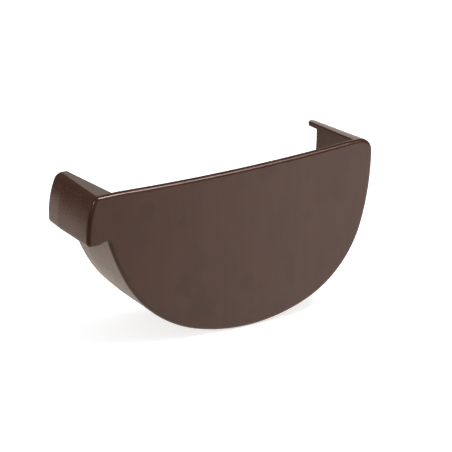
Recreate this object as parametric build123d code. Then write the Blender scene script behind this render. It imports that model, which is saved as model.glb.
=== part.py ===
from build123d import *
from math import acos, atan2, cos, degrees, radians, sin, sqrt
import os

# Stop end for a half-round gutter with a box-shaped front bead, right-hand version, in millimetres.
#
# In the finished part X runs across the gutter (front bead towards -X, wall side towards +X), Y runs
# along the gutter (the blank outer face looks to -Y, the mouth opens to +Y) and Z is up. The part
# stands unheld on its round bottom, turned about Y by its own balance.
#
# While it is built, the section lies in XY with its lowest point at the origin, and the depth behind
# the outer face runs towards -Z.

# Section of the gutter: tangent arcs on each side, from the lowest point upwards
BOTTOM_RADIUS = 73.8
BOTTOM_ANGLE = 20.0
SHOULDER_RADIUS = 47.3
SHOULDER_ANGLE = 68.5
SIDE_RADIUS = 101.6
SECTION_HEIGHT = 66.4
TOP_DIP = 1.3
TOP_DIP_ROUND = 25.0
DIP_MARGIN = 2.5

# Front bead: a box whose outer face bulges, and whose foot steps up before it meets the round side
BEAD_OVERHANG = 8.3
BEAD_HEIGHT = 18.9
BEAD_FACE_RADIUS = 38.1
BEAD_TOP_AT_PLATE = 12.9
BEAD_TOP_AT_MOUTH = 9.9
BEAD_TOP_ROUND_AT_PLATE = 2.2
BEAD_TOP_ROUND_AT_MOUTH = 4.0
BEAD_FOOT_ROUND = 1.7
FOOT_STEP = 0.8
FOOT_STEP_FROM_SIDE = 3.2
FOOT_STEP_RUN = 1.3
FOOT_STEP_ROUND = 1.7
FOOT_CORNER_ROUND = 1.1

# Wall side: rounded top corner and inturned lip
WALL_CORNER = 5.2
LIP_AT_PLATE = 8.4
LIP_AT_MOUTH = 6.9

# Along the gutter
PLATE_THICKNESS = 2.5
SKIRT_DEPTH = 40.9
LEAD_LENGTH = 11.4
FLARE = 0.4
LEAD_INSET = 0.45

# Walls and rounded edges; no corner of a section is sharper than the smallest round
WALL_AT_PLATE = 2.4
WALL_AT_MOUTH = 1.8
FACE_ROUND = 1.5
FREE_EDGE_ROUND = 0.7
FLAT_BETWEEN_ROUNDS = 0.05
LIP_END_ROUND = 3.0
BEAD_END_ROUND = 1.5
SMALLEST_ROUND = 0.9
CLEAR_CUT = 5.0
TOUCHING = 0.01


def on_circle(centre, radius, angle):
    """Point on a circle, the angle in degrees from straight down towards +X."""
    turn = radians(angle)
    return (centre[0] + radius * sin(turn), centre[1] - radius * cos(turn))


def arc_points(centre, radius, start, end):
    return [on_circle(centre, radius, angle) for angle in (start, (start + end) / 2, end)]


# Centres of the three arcs of the right half
BOTTOM_CENTRE = (0.0, BOTTOM_RADIUS)
SHOULDER_CENTRE = on_circle(BOTTOM_CENTRE, BOTTOM_RADIUS - SHOULDER_RADIUS, BOTTOM_ANGLE)
SIDE_CENTRE = on_circle(SHOULDER_CENTRE, SHOULDER_RADIUS - SIDE_RADIUS, SHOULDER_ANGLE)


def side_arc(level, inset):
    """The side's arc from the shoulder up to a level."""
    radius = SIDE_RADIUS - inset
    angle = degrees(acos((SIDE_CENTRE[1] - level) / radius))
    return arc_points(SIDE_CENTRE, radius, SHOULDER_ANGLE, angle)


def half_width(level):
    return side_arc(level, 0)[-1][0]


FOOT_LEVEL = SECTION_HEIGHT - BEAD_HEIGHT
STEP_LEVEL = FOOT_LEVEL + FOOT_STEP
BEAD_REACH = half_width(STEP_LEVEL) + BEAD_OVERHANG
LEAD_START = SKIRT_DEPTH - LEAD_LENGTH


def draft(depth):
    """How far the outside has spread at a depth, by the draft that runs on to the mouth."""
    return FLARE * depth / LEAD_START


def drawn_in(depth):
    """How far the lead-in has drawn the sides in at a depth."""
    return LEAD_INSET * max(depth - LEAD_START, 0) / LEAD_LENGTH


def bead_edge(depth):
    """How far the free edge of the bead's top is from the middle of the section."""
    share = depth / SKIRT_DEPTH
    return BEAD_REACH - BEAD_TOP_AT_PLATE + share * (BEAD_TOP_AT_PLATE - BEAD_TOP_AT_MOUTH)


def lip_edge(depth):
    """How far the lip's free edge is from the middle of the section."""
    share = depth / SKIRT_DEPTH
    return half_width(SECTION_HEIGHT) - LIP_AT_PLATE + share * (LIP_AT_PLATE - LIP_AT_MOUTH)


def mirrored(points):
    return [(-x, z) for x, z in reversed(points)]


def nearest(shapes, x, y, z=0.0):
    return min(shapes, key=lambda shape: (shape.center() - Vector(x, y, z)).length)


def bead_top_round(depth):
    """Outer radius of the bead's top corner."""
    share = depth / SKIRT_DEPTH
    return BEAD_TOP_ROUND_AT_PLATE + share * (BEAD_TOP_ROUND_AT_MOUTH - BEAD_TOP_ROUND_AT_PLATE)


def outline(depth, wall):
    """Closed outline at a depth, on the outside or a wall's thickness within it."""
    top = SECTION_HEIGHT + draft(depth) - wall
    inset = drawn_in(depth) - draft(depth) + wall
    foot = FOOT_LEVEL + inset
    step = STEP_LEVEL + inset
    bottom = arc_points(BOTTOM_CENTRE, BOTTOM_RADIUS - inset, 0, BOTTOM_ANGLE)
    shoulder = arc_points(SHOULDER_CENTRE, SHOULDER_RADIUS - inset, BOTTOM_ANGLE, SHOULDER_ANGLE)
    right = side_arc(top, inset)
    left = mirrored(side_arc(step, inset))

    def bulge(level):
        across = sqrt((BEAD_FACE_RADIUS - inset) ** 2 - (level - FOOT_LEVEL) ** 2)
        return (BEAD_FACE_RADIUS - BEAD_REACH - across, level)

    bead_top = bulge(top)
    bead_foot = bulge(foot)
    dip_left = (DIP_MARGIN - bead_edge(PLATE_THICKNESS), top)
    dip_right = (lip_edge(PLATE_THICKNESS) - DIP_MARGIN, top)
    step_end = (left[0][0] - FOOT_STEP_FROM_SIDE + FOOT_STEP_RUN, step)
    step_start = (step_end[0] - FOOT_STEP_RUN, foot)
    with BuildSketch() as sketch:
        with BuildLine():
            for points in (bottom, shoulder, right):
                ThreePointArc(*points)
            Polyline(right[-1], dip_right)
            ThreePointArc(dip_right, (0, top - TOP_DIP), dip_left)
            Polyline(dip_left, bead_top)
            ThreePointArc(bead_top, bulge((top + foot) / 2), bead_foot)
            Polyline(bead_foot, step_start, step_end, left[0])
            for points in (left, mirrored(shoulder), mirrored(bottom)):
                ThreePointArc(*points)
        make_face()
    face = sketch.face()
    rounds = [
        (right[-1], max(WALL_CORNER - inset, SMALLEST_ROUND)),
        (bead_top, max(bead_top_round(depth) - inset, SMALLEST_ROUND)),
        (bead_foot, max(BEAD_FOOT_ROUND - inset, SMALLEST_ROUND)),
        (step_start, FOOT_STEP_ROUND),
        (step_end, FOOT_CORNER_ROUND),
        (left[0], FOOT_CORNER_ROUND),
        (dip_left, TOP_DIP_ROUND),
        (dip_right, TOP_DIP_ROUND),
    ]
    for (x, y), radius in rounds:
        face = fillet(nearest(face.vertices(), x, y), radius).face()
    return face


def section(depth, wall=0.0):
    return Pos(0, 0, -depth) * outline(depth, wall)


def seam(body, first, second):
    """Edges of a body that lie on faces of two lists at once."""
    def lies_on(edge, faces):
        points = [Vertex(edge @ share) for share in (0.1, 0.5, 0.9)]
        return all(min(face.distance_to(point) for face in faces) < TOUCHING for point in points)

    return [edge for edge in body.edges() if lies_on(edge, first) and lies_on(edge, second)]


def outer_shape():
    """Drafted block of the plate and skirt, its sides drawn in again towards the mouth."""
    skirt = loft([section(0), section(LEAD_START)], ruled=True)
    lead_in = loft([section(LEAD_START), section(SKIRT_DEPTH)], ruled=True)
    block = skirt + lead_in
    return fillet(block.faces().sort_by(Axis.Z)[-1].edges(), FACE_ROUND)


def hollow():
    """Drafted space behind the plate, open at the mouth."""
    return loft([section(PLATE_THICKNESS, WALL_AT_PLATE), section(SKIRT_DEPTH, WALL_AT_MOUTH)], ruled=True)


def top_opening():
    """The gap in the skirt's top between the bead's edge and the lip, drawn in plan."""
    bead_end = (-bead_edge(SKIRT_DEPTH), SKIRT_DEPTH)
    lip_end = (lip_edge(SKIRT_DEPTH), SKIRT_DEPTH)
    beside = BEAD_REACH + CLEAR_CUT
    clear = SKIRT_DEPTH + CLEAR_CUT
    plan = Face(Wire.make_polygon([
        (-bead_edge(PLATE_THICKNESS), PLATE_THICKNESS),
        (lip_edge(PLATE_THICKNESS), PLATE_THICKNESS),
        lip_end,
        (beside, SKIRT_DEPTH),
        (beside, clear),
        (-beside, clear),
        (-beside, SKIRT_DEPTH),
        bead_end,
    ]))
    for (x, y), radius in ((lip_end, LIP_END_ROUND), (bead_end, BEAD_END_ROUND)):
        plan = fillet(nearest(plan.vertices(), x, y), radius).face()
    below = Plane((0, SECTION_HEIGHT - WALL_CORNER - CLEAR_CUT, 0), x_dir=(1, 0, 0), z_dir=(0, 1, 0))
    return extrude(below * plan, amount=WALL_CORNER + 2 * CLEAR_CUT)


block = outer_shape()
opening = top_opening()
stop_end = block - hollow() - opening
mouth, *skin = block.faces().sort_by(Axis.Z)
edge_round = min(FREE_EDGE_ROUND, PLATE_THICKNESS - FACE_ROUND - FLAT_BETWEEN_ROUNDS)
stop_end = fillet(seam(stop_end, [mouth, *opening.faces()], skin), edge_round)

# Stand the section upright and turn it about Y until it balances over the bottom arc's centre
stop_end = Rot(90, 0, 0) * stop_end
balance = stop_end.center(CenterOf.MASS)
rest_roll = degrees(atan2(balance.X, BOTTOM_RADIUS - balance.Z))
stop_end = Pos(0, 0, BOTTOM_RADIUS) * Rot(0, rest_roll, 0) * Pos(0, 0, -BOTTOM_RADIUS) * stop_end

# Origin on the floor, under the middle of the part's box
box = stop_end.bounding_box()
stop_end = Pos(-box.center().X, -box.center().Y, -box.min.Z) * stop_end
stop_end = stop_end.solid()
stop_end.label = "stop_end"

print("rest roll", round(rest_roll, 3), "shift", -box.center().X, -box.center().Y, -box.min.Z)
print("size", stop_end.bounding_box().size, "volume", round(stop_end.volume), "mm3")

os.makedirs("parts", exist_ok=True)
export_step(stop_end, "parts/stop_end.step")
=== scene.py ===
from math import cos, radians, sin

import bpy
from bpy.props import FloatProperty, FloatVectorProperty, PointerProperty
from mathutils import Matrix, Vector

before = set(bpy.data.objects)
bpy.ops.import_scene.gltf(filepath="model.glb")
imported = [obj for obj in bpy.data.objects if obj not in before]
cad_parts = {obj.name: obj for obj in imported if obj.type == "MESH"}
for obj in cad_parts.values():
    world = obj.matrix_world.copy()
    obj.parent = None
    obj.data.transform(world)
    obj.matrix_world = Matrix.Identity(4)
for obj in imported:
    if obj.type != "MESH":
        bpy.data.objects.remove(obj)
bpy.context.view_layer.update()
PART = "stop_end"
PLASTIC = "brown_plastic"

bl_info = {
    "name": "Gutter stop end",
    "version": (1, 0, 0),
    "blender": (4, 5, 0),
    "location": "View3D > Sidebar > Stop end",
    "description": "Finish of a moulded gutter stop end, and a studio to look at it in",
    "category": "Object",
}

MM = 0.001
WHITE = (1.0, 1.0, 1.0)
SEEN_BY = ("Is Camera Ray", "Is Glossy Ray", "Is Transmission Ray")

# Marks in the plastic: the size of their lumps, their stretch, their share, and the noise that shows
FLOW_SIZE = 18 * MM
FLOW_STRETCH = (1.0, 1.0, 1.4)
FLOW_SHARE = 0.65
STREAK_SIZE = 2.6 * MM
STREAK_STRETCH = (1.0, 1.0, 9.0)
STREAK_SHARE = 0.35
MARK_RANGE = (0.3, 0.7)
SMUDGE_SIZE = 13 * MM
SMUDGE_RANGE = (0.54, 0.72)
SMUDGE_SHARE = 0.7

# Clouds in the gloss: the roughness falls by one value, and rises again by the other within them
CLOUD_SIZE = 16 * MM
CLOUD_RANGE = (0.35, 0.75)
CLOUD_FALL = 0.03
CLOUD_RISE = 0.07
PLASTIC_IOR = 1.53

# Middle of the part, which the lamps and cards look at
MIDDLE = Vector((0.0, 0.0, 0.035))

# Soft lamps, and cards that only the gloss shows: place from the middle, width and height, in metres
KEY_LAMP = ((0.27, -0.33, 0.80), 0.35, 0.35)
RIGHT_LAMP = ((0.60, -0.35, 0.14), 0.40, 0.30)
LEFT_LAMP = ((-0.63, 0.63, 0.11), 0.40, 0.20)
KEY_CARD = ((0.31, -0.53, 0.73), 0.36, 0.40)
LEFT_CARD = ((-0.84, -0.43, 0.33), 0.50, 0.13)
BACK_CARD = ((0.60, 1.02, 0.40), 0.80, 0.70)

# Room and table in the gloss: how far they reach as a share of the floor, and how high they start
GLOSS_REACH = 0.9
ROOM_FOOT = 2 * MM
TABLE_LEVEL = 1 * MM

# Soft edges on that table, from start to end in metres; a slant adds a share of the other coordinate
FRONT_EDGE = (-0.02, 0.03)
FAR_LEFT_EDGE = (-0.05, 0.10)
LEFT_EDGE = (-0.18, -0.06)
LEFT_SLANT = 0.3
LIT_EDGE = (-0.11, 0.07)
LIT_SLANT = 0.5
DIM_EDGE = (0.04, 0.12)
DIM_SLANT = 2.0
PAINTED_SHADOW_EDGE = (0.03, 0.06)

# Brightness of the table's dark places, and what its dimmer far part and the painted shadow of the part take
# away
NEAR_LEFT = 0.03
FAR_LEFT = 0.20
UNLIT_FRONT = 0.02
DIM_SHARE = 0.55
PAINTED_SHADOW_SHARE = 0.30

SENSOR_WIDTH = 36.0
NEAREST_SEEN = 0.01


class Wire:
    """A socket of a shader; arithmetic on it adds Math nodes."""

    def __init__(self, shader, socket):
        self.shader = shader
        self.socket = socket

    def maths(self, operation, first, second):
        return self.shader.node("ShaderNodeMath", {"operation": operation}, {0: first, 1: second})

    def __add__(self, other):
        return self.maths("ADD", self, other)

    def __radd__(self, other):
        return self.maths("ADD", other, self)

    def __sub__(self, other):
        return self.maths("SUBTRACT", self, other)

    def __rsub__(self, other):
        return self.maths("SUBTRACT", other, self)

    def __mul__(self, other):
        return self.maths("MULTIPLY", self, other)

    def __rmul__(self, other):
        return self.maths("MULTIPLY", other, self)

    def larger(self, other):
        return self.maths("MAXIMUM", self, other)


class Shader:
    """A node tree that is filled one node at a time."""

    def __init__(self, tree):
        self.tree = tree
        self.tree.nodes.clear()

    def node(self, kind, settings=None, inputs=None, output=0):
        """Adds a node: its settings first, then the values or links of its sockets."""
        made = self.tree.nodes.new(kind)
        for name, value in (settings or {}).items():
            setattr(made, name, value)
        for name, value in (inputs or {}).items():
            socket = made.inputs[name]
            if isinstance(value, Wire):
                self.tree.links.new(value.socket, socket)
            else:
                socket.default_value = value
        return Wire(self, made.outputs[output] if len(made.outputs) else None)

    def noise(self, place, size, detail, stretch=(1.0, 1.0, 1.0)):
        """Soft noise with lumps of a size in metres, longer where the stretch is more than 1."""
        scale = [1.0 / (size * times) for times in stretch]
        scaled = self.node("ShaderNodeMapping", {}, {"Vector": place, "Scale": scale})
        sockets = {"Vector": scaled, "Scale": 1.0, "Detail": detail, "Roughness": 0.5}
        return self.node("ShaderNodeTexNoise", {}, sockets)

    def between(self, value, edge, to_start=0.0, to_end=1.0):
        """Value mapped smoothly from an edge's start and end to two others, and held within them."""
        start, end = edge
        sockets = {0: value, 1: start, 2: end, 3: to_start, 4: to_end}
        return self.node("ShaderNodeMapRange", {"interpolation_type": "SMOOTHSTEP"}, sockets)

    def place(self):
        """Place on the surface, in metres."""
        return self.node("ShaderNodeTexCoord", output="Object")

    def axis(self, place, name):
        """One coordinate of a place."""
        return self.node("ShaderNodeSeparateXYZ", {}, {"Vector": place}, name)

    def away(self, place):
        """How far a place is from the origin."""
        return self.node("ShaderNodeVectorMath", {"operation": "LENGTH"}, {0: place}, 1)

    def glow(self, colour, strength):
        """Light that comes from the surface itself."""
        return self.node("ShaderNodeEmission", {}, {"Color": colour, "Strength": strength})

    def looked_at(self):
        """1 where the camera or a gloss looks at the surface, 0 where only its light is asked for."""
        camera, gloss, glass = [self.node("ShaderNodeLightPath", output=kind) for kind in SEEN_BY]
        return camera.larger(gloss).larger(glass)

    def mix(self, share, first, second):
        """Colour between two colours."""
        settings = {"data_type": "RGBA", "blend_type": "MIX"}
        return self.node("ShaderNodeMix", settings, {0: share, 6: first, 7: second}, 2)


def solid(colour):
    """Colour with an alpha of 1, as sockets take it."""
    return (*colour, 1.0)


class StopEndFinish(bpy.types.PropertyGroup):
    brown: FloatVectorProperty(
        name="Brown", description="Colour of the plastic",
        subtype="COLOR", size=3, min=0.0, max=1.0, default=(0.0515, 0.0190, 0.0107),
    )
    pale_brown: FloatVectorProperty(
        name="Pale brown", description="Colour of the faint flow marks",
        subtype="COLOR", size=3, min=0.0, max=1.0, default=(0.0600, 0.0225, 0.0125),
    )
    dark_brown: FloatVectorProperty(
        name="Dark brown", description="Colour of the faint smudges",
        subtype="COLOR", size=3, min=0.0, max=1.0, default=(0.042, 0.0150, 0.0082),
    )
    roughness: FloatProperty(
        name="Roughness", description="How blurred the gloss is",
        min=0.0, max=1.0, default=0.2,
    )
    peel_size: FloatProperty(
        name="Peel size", description="Width of the skin's fine ripples",
        unit="LENGTH", default=1.6 * MM,
    )
    peel_height: FloatProperty(
        name="Peel height", description="Height of the skin's fine ripples",
        unit="LENGTH", default=0.0003 * MM,
    )
    wave_size: FloatProperty(
        name="Wave size", description="Width of the slow waves in the moulding",
        unit="LENGTH", default=28 * MM,
    )
    wave_height: FloatProperty(
        name="Wave height", description="Height of the slow waves",
        unit="LENGTH", default=0.03 * MM,
    )


class StopEndStudio(bpy.types.PropertyGroup):
    floor_colour: FloatVectorProperty(
        name="Floor", description="Colour of the floor",
        subtype="COLOR", size=3, min=0.0, max=1.0, default=(0.88, 0.88, 0.88),
    )
    floor_radius: FloatProperty(
        name="Floor radius", description="How far the floor reaches",
        unit="LENGTH", default=6.0,
    )
    floor_white: FloatProperty(
        name="Floor white", description="What lifts the floor to white where it is looked at",
        min=0.0, default=0.68,
    )
    room: FloatProperty(
        name="Room", description="Brightness of the light from the room around the floor",
        min=0.0, default=0.35,
    )
    key_power: FloatProperty(
        name="Key power", description="Lamp above, to the front right",
        unit="POWER", default=6.1,
    )
    right_power: FloatProperty(
        name="Right power", description="Low lamp to the front right",
        unit="POWER", default=1.6,
    )
    left_power: FloatProperty(
        name="Left power", description="Low lamp to the back left",
        unit="POWER", default=4.9,
    )
    room_in_gloss: FloatProperty(
        name="Room in gloss", description="Brightness of the room that the gloss shows",
        min=0.0, default=0.08,
    )
    table_in_gloss: FloatProperty(
        name="Table in gloss", description="Brightness of the table that the gloss shows",
        min=0.0, default=0.66,
    )
    lit_table_in_gloss: FloatProperty(
        name="Lit table in gloss", description="What the lit front right of that table adds",
        min=0.0, default=0.8,
    )
    # The warm tint of the table behind the part is painted brown bounce light from the part, shown in the
    # gloss
    bounce_warm_table: FloatVectorProperty(
        name="Warm table", description="Colour of that table behind the part",
        subtype="COLOR", size=3, min=0.0, max=1.0, default=(1.0, 0.89, 0.79),
    )
    plain_table: FloatVectorProperty(
        name="Plain table", description="Colour of that table in front of the part",
        subtype="COLOR", size=3, min=0.0, max=1.0, default=(1.0, 0.93, 0.88),
    )
    card_colour: FloatVectorProperty(
        name="Card", description="Colour of the cards that the gloss shows",
        subtype="COLOR", size=3, min=0.0, max=1.0, default=(1.0, 0.94, 0.87),
    )
    key_card: FloatVectorProperty(
        name="Key card", description="Brightness of the card along the plate's top edge, left and right",
        size=2, min=0.0, default=(2.0, 19.0),
    )
    left_card: FloatProperty(
        name="Left card", description="Brightness of the card that marks the bead's corner",
        min=0.0, default=6.0,
    )
    back_card: FloatVectorProperty(
        name="Back card", description="Brightness of the card over the top faces, left and right",
        size=2, min=0.0, default=(0.5, 1.12),
    )
    azimuth: FloatProperty(
        name="Azimuth", description="Turn of the view about the upright axis",
        subtype="ANGLE", default=radians(-27.165),
    )
    elevation: FloatProperty(
        name="Elevation", description="Height of the view above the horizon",
        subtype="ANGLE", default=radians(17.178),
    )
    roll: FloatProperty(
        name="Roll", description="Turn of the view about its own axis",
        subtype="ANGLE", default=radians(-1.794),
    )
    distance: FloatProperty(
        name="Distance", description="From the camera to the point it aims at",
        unit="LENGTH", default=542.8 * MM,
    )
    aim: FloatVectorProperty(
        name="Aim", description="Point in the middle of the view",
        subtype="XYZ", unit="LENGTH", default=(4.47 * MM, -1.52 * MM, 37.22 * MM),
    )
    lens: FloatProperty(
        name="Lens", description="Focal length in millimetres, for a picture 36 mm wide",
        default=106.93,
    )


class STOPEND_OT_finish(bpy.types.Operator):
    """Gives the moulding its brown glossy plastic"""

    bl_idname = "stop_end.finish"
    bl_label = "Moulded finish"

    def execute(self, context):
        finish = context.scene.stop_end_finish
        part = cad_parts[PART]
        material = bpy.data.materials.new(PLASTIC)
        material.use_nodes = True
        shader = Shader(material.node_tree)
        place = shader.place()

        flow = shader.noise(place, FLOW_SIZE, detail=3.0, stretch=FLOW_STRETCH)
        streaks = shader.noise(place, STREAK_SIZE, detail=2.0, stretch=STREAK_STRETCH)
        marks = shader.between(flow * FLOW_SHARE + streaks * STREAK_SHARE, MARK_RANGE)
        colour = shader.mix(marks, solid(finish.brown), solid(finish.pale_brown))
        smudges = shader.between(shader.noise(place, SMUDGE_SIZE, detail=2.5), SMUDGE_RANGE)
        colour = shader.mix(smudges * SMUDGE_SHARE, colour, solid(finish.dark_brown))

        clouds = shader.between(shader.noise(place, CLOUD_SIZE, detail=4.0), CLOUD_RANGE)
        roughness = finish.roughness - CLOUD_FALL + CLOUD_RISE * clouds

        waves = shader.noise(place, finish.wave_size, detail=1.0)
        peel = shader.noise(place, finish.peel_size, detail=1.0)
        height = waves * finish.wave_height + peel * finish.peel_height
        normal = shader.node("ShaderNodeBump", {}, {"Strength": 1.0, "Distance": 1.0, "Height": height})

        plastic = shader.node("ShaderNodeBsdfPrincipled", {}, {
            "Base Color": colour, "Roughness": roughness, "IOR": PLASTIC_IOR, "Normal": normal,
        })
        shader.node("ShaderNodeOutputMaterial", {}, {"Surface": plastic})
        for slot in part.material_slots:
            slot.material = material
        return {"FINISHED"}


def rectangle(half_width, half_height, level):
    """Corners of a level rectangle round the upright axis."""
    return [
        (-half_width, -half_height, level),
        (half_width, -half_height, level),
        (half_width, half_height, level),
        (-half_width, half_height, level),
    ]


def look_at_middle(made, offset):
    """Places a lamp or card and turns it to the middle of the part."""
    made.location = MIDDLE + Vector(offset)
    made.rotation_euler = (MIDDLE - made.location).to_track_quat("-Z", "Y").to_euler()


def softbox(name, stand, watts):
    """Rectangular lamp that lights the part; in the gloss, the cards show in its place."""
    offset, width, height = stand
    lamp = bpy.data.lights.new(name, "AREA")
    lamp.shape = "RECTANGLE"
    lamp.size = width
    lamp.size_y = height
    lamp.energy = watts
    made = bpy.data.objects.new(name, lamp)
    look_at_middle(made, offset)
    made.visible_camera = False
    made.visible_glossy = False
    bpy.context.scene.collection.objects.link(made)


def stage_mesh(name, points, shade, faces=((0, 1, 2, 3),)):
    """Flat-shaded mesh of the studio."""
    mesh = bpy.data.meshes.new(name)
    mesh.from_pydata(points, [], faces)
    material = bpy.data.materials.new(name)
    material.use_nodes = True
    shader = Shader(material.node_tree)
    shader.node("ShaderNodeOutputMaterial", {}, {"Surface": shade(shader)})
    mesh.materials.append(material)
    made = bpy.data.objects.new(name, mesh)
    bpy.context.scene.collection.objects.link(made)
    return made


def for_the_gloss(made):
    """Leaves a piece of the studio to be seen in the gloss alone, so that it throws no light or shade."""
    made.visible_camera = False
    made.visible_diffuse = False
    made.visible_shadow = False


def card(name, stand, colour, left, right):
    """Card that only the gloss shows; left and right are its brightness as seen from the part."""
    offset, width, height = stand

    def shade(shader):
        across = shader.axis(shader.place(), "X")
        return shader.glow(solid(colour), shader.between(across, (width / 2, -width / 2), left, right))

    made = stage_mesh(name, rectangle(width / 2, height / 2, 0.0), shade)
    look_at_middle(made, offset)
    for_the_gloss(made)


class STOPEND_OT_stage(bpy.types.Operator):
    """Puts the part on a pale floor, with soft lamps round it and a camera in front"""

    bl_idname = "stop_end.stage"
    bl_label = "Studio"

    def execute(self, context):
        studio = context.scene.stop_end_studio
        self.floor(studio)
        self.room(context.scene, studio)
        self.room_in_gloss(studio)
        self.table_in_gloss(studio)
        self.lamps(studio)
        self.cards(studio)
        self.camera(context.scene, studio)
        context.scene.view_settings.view_transform = "Standard"
        return {"FINISHED"}

    def floor(self, studio):
        def matt(shader):
            lit = shader.node("ShaderNodeBsdfDiffuse", {}, {"Color": solid(studio.floor_colour)})
            bright = shader.glow(solid(WHITE), shader.looked_at() * studio.floor_white)
            return shader.node("ShaderNodeAddShader", {}, {0: lit, 1: bright})

        stage_mesh("floor", rectangle(studio.floor_radius, studio.floor_radius, 0.0), matt)

    def room(self, scene, studio):
        """Pale room for the light, white where it is looked at."""
        world = bpy.data.worlds.new("room")
        world.use_nodes = True
        shader = Shader(world.node_tree)
        strength = studio.room + (1.0 - studio.room) * shader.looked_at()
        room = shader.node("ShaderNodeBackground", {}, {"Color": solid(WHITE), "Strength": strength})
        shader.node("ShaderNodeOutputWorld", {}, {"Surface": room})
        scene.world = world

    def room_in_gloss(self, studio):
        """Dim walls and ceiling that the gloss shows in place of the white room."""
        def dim(shader):
            return shader.glow(solid(WHITE), studio.room_in_gloss)

        far = studio.floor_radius * GLOSS_REACH
        points = rectangle(far, far, ROOM_FOOT) + rectangle(far, far, far)
        sides = [(0, 1, 5, 4), (1, 2, 6, 5), (2, 3, 7, 6), (3, 0, 4, 7), (4, 5, 6, 7)]
        for_the_gloss(stage_mesh("room_in_gloss", points, dim, sides))

    def table_in_gloss(self, studio):
        """Table top that the gloss shows: dark to the left, with painted light to the front right and a
        painted shadow of the part.
        """
        def fading(shader):
            place = shader.place()
            across = shader.axis(place, "X")
            along = shader.axis(place, "Y")
            in_front = shader.between(along, FRONT_EDGE, 1.0, 0.0)
            left = shader.between(along, FAR_LEFT_EDGE, NEAR_LEFT, FAR_LEFT)
            table = shader.between(across + LEFT_SLANT * along, LEFT_EDGE, left, studio.table_in_gloss)
            dimmer = shader.between(DIM_SLANT * across + along, DIM_EDGE, 0.0, DIM_SHARE)
            # Painted shadow of the part: the table glows less near the middle
            shade = shader.between(shader.away(place), PAINTED_SHADOW_EDGE, PAINTED_SHADOW_SHARE, 0.0)
            table = table * (1.0 - (1.0 - in_front) * (shade + dimmer))
            # Painted light: the table glows brighter to the front right
            lit = shader.between(across + LIT_SLANT * along, LIT_EDGE, UNLIT_FRONT, studio.lit_table_in_gloss)
            # Behind the part the table takes the warm tint of painted bounce light from the part
            tint = shader.mix(in_front, solid(studio.bounce_warm_table), solid(studio.plain_table))
            return shader.glow(tint, table + in_front * lit)

        far = studio.floor_radius * GLOSS_REACH
        for_the_gloss(stage_mesh("table_in_gloss", rectangle(far, far, TABLE_LEVEL), fading))

    def lamps(self, studio):
        softbox("key_box", KEY_LAMP, studio.key_power)
        softbox("right_box", RIGHT_LAMP, studio.right_power)
        softbox("left_box", LEFT_LAMP, studio.left_power)

    def cards(self, studio):
        card("key_card", KEY_CARD, studio.card_colour, *studio.key_card)
        card("left_card", LEFT_CARD, studio.card_colour, studio.left_card, studio.left_card)
        card("back_card", BACK_CARD, studio.card_colour, *studio.back_card)

    def camera(self, scene, studio):
        lens = bpy.data.cameras.new("camera")
        lens.sensor_width = SENSOR_WIDTH
        lens.lens = studio.lens
        lens.clip_start = NEAREST_SEEN
        camera = bpy.data.objects.new("camera", lens)
        turn = studio.azimuth
        lift = studio.elevation
        back = Vector((sin(turn) * cos(lift), -cos(turn) * cos(lift), sin(lift)))
        view = (-back).to_track_quat("-Z", "Y").to_matrix() @ Matrix.Rotation(studio.roll, 3, "Z")
        place = Vector(studio.aim) + back * studio.distance
        camera.matrix_world = Matrix.Translation(place) @ view.to_4x4()
        scene.collection.objects.link(camera)
        scene.camera = camera


class STOPEND_PT_panel(bpy.types.Panel):
    """Lists the steps of the stop end's scene"""

    bl_idname = "STOPEND_PT_panel"
    bl_label = "Stop end"
    bl_space_type = "VIEW_3D"
    bl_region_type = "UI"
    bl_category = "Stop end"

    def draw(self, context):
        for group in (context.scene.stop_end_finish, context.scene.stop_end_studio):
            for name in group.__annotations__:
                self.layout.prop(group, name)
        for step in STEPS:
            self.layout.operator(step.bl_idname)


STEPS = (STOPEND_OT_finish, STOPEND_OT_stage)
CLASSES = (StopEndFinish, StopEndStudio, *STEPS, STOPEND_PT_panel)


def register():
    for item in CLASSES:
        bpy.utils.register_class(item)
    bpy.types.Scene.stop_end_finish = PointerProperty(type=StopEndFinish)
    bpy.types.Scene.stop_end_studio = PointerProperty(type=StopEndStudio)


def unregister():
    del bpy.types.Scene.stop_end_studio
    del bpy.types.Scene.stop_end_finish
    for item in reversed(CLASSES):
        bpy.utils.unregister_class(item)


def main():
    register()
    bpy.ops.stop_end.finish()
    bpy.ops.stop_end.stage()


if __name__ == "__main__":
    main()
